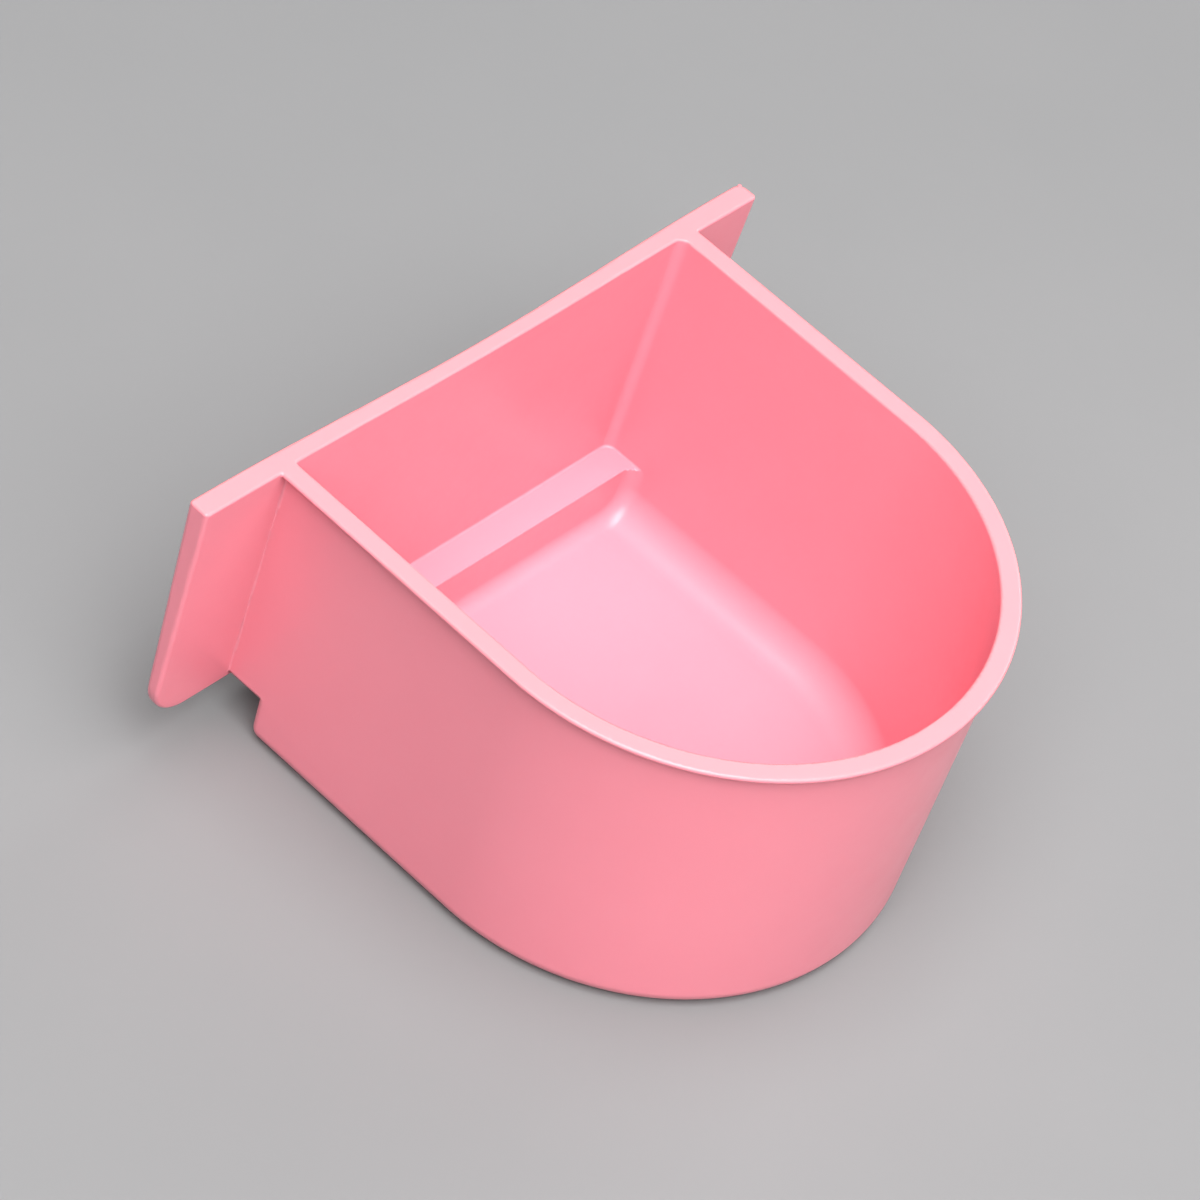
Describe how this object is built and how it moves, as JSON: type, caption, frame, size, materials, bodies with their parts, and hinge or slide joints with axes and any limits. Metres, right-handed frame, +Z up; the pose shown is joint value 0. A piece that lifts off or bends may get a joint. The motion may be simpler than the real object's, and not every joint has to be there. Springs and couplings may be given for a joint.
{
  "type": "cage feeder cup",
  "caption": "Open D-shaped feeder cup moulded in one piece with a flat winged back plate that bears on cage wires and a stepped rebate behind its floor.",
  "frame": {"origin": "middle of the overall box in X and Y, on the flat underside that the cup stands on", "axes": "+X along the back plate, which is the longest extent; -Y towards the round front of the cup and +Y through the back plate; +Z up"},
  "size_m": [0.095, 0.076, 0.044],
  "materials": {
    "pink_plastic": "satin pink polypropylene, solid colour, slightly translucent at its thin edges"
  },
  "bodies": {
    "root": {"left_wing": "pink_plastic", "right_wing": "pink_plastic", "back_wall": "pink_plastic", "left_wall": "pink_plastic", "right_wall": "pink_plastic", "front_wall": "pink_plastic", "floor_pan": "pink_plastic", "rear_ledge": "pink_plastic", "rear_riser": "pink_plastic"}
  },
  "joints": []
}
